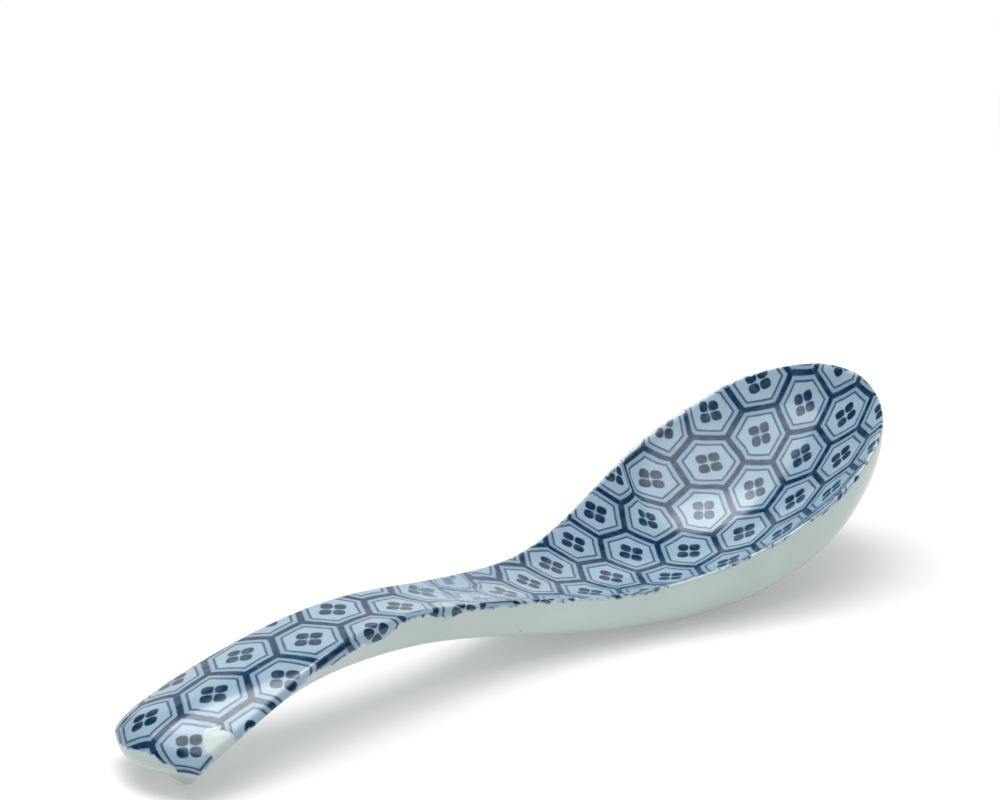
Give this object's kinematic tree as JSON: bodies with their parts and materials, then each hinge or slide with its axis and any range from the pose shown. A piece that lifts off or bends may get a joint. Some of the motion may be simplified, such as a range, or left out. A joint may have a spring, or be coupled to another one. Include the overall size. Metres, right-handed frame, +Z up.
{
  "type": "chinese soup spoon",
  "caption": "Porcelain soup spoon with a deep flat-footed bowl, an arched handle that turns down at its lobed end, and blue tortoiseshell and flower print on its upper side",
  "frame": {"origin": "middle of the flat foot under the bowl, at table level", "axes": "+X along the spoon towards the bowl's lip, +Y across it, +Z up"},
  "size_m": [0.1721, 0.0504, 0.0326],
  "materials": {
    "porcelain": "fired white porcelain with a faint grey-green cast",
    "cobalt_print": "cobalt underglaze print, dark lines over a pale wash",
    "glaze": "clear glossy fired glaze"
  },
  "bodies": {
    "root": {"porcelain_body": "porcelain", "bowl_print": "cobalt_print", "handle_print": "cobalt_print", "clear_glaze": "glaze"}
  },
  "joints": []
}
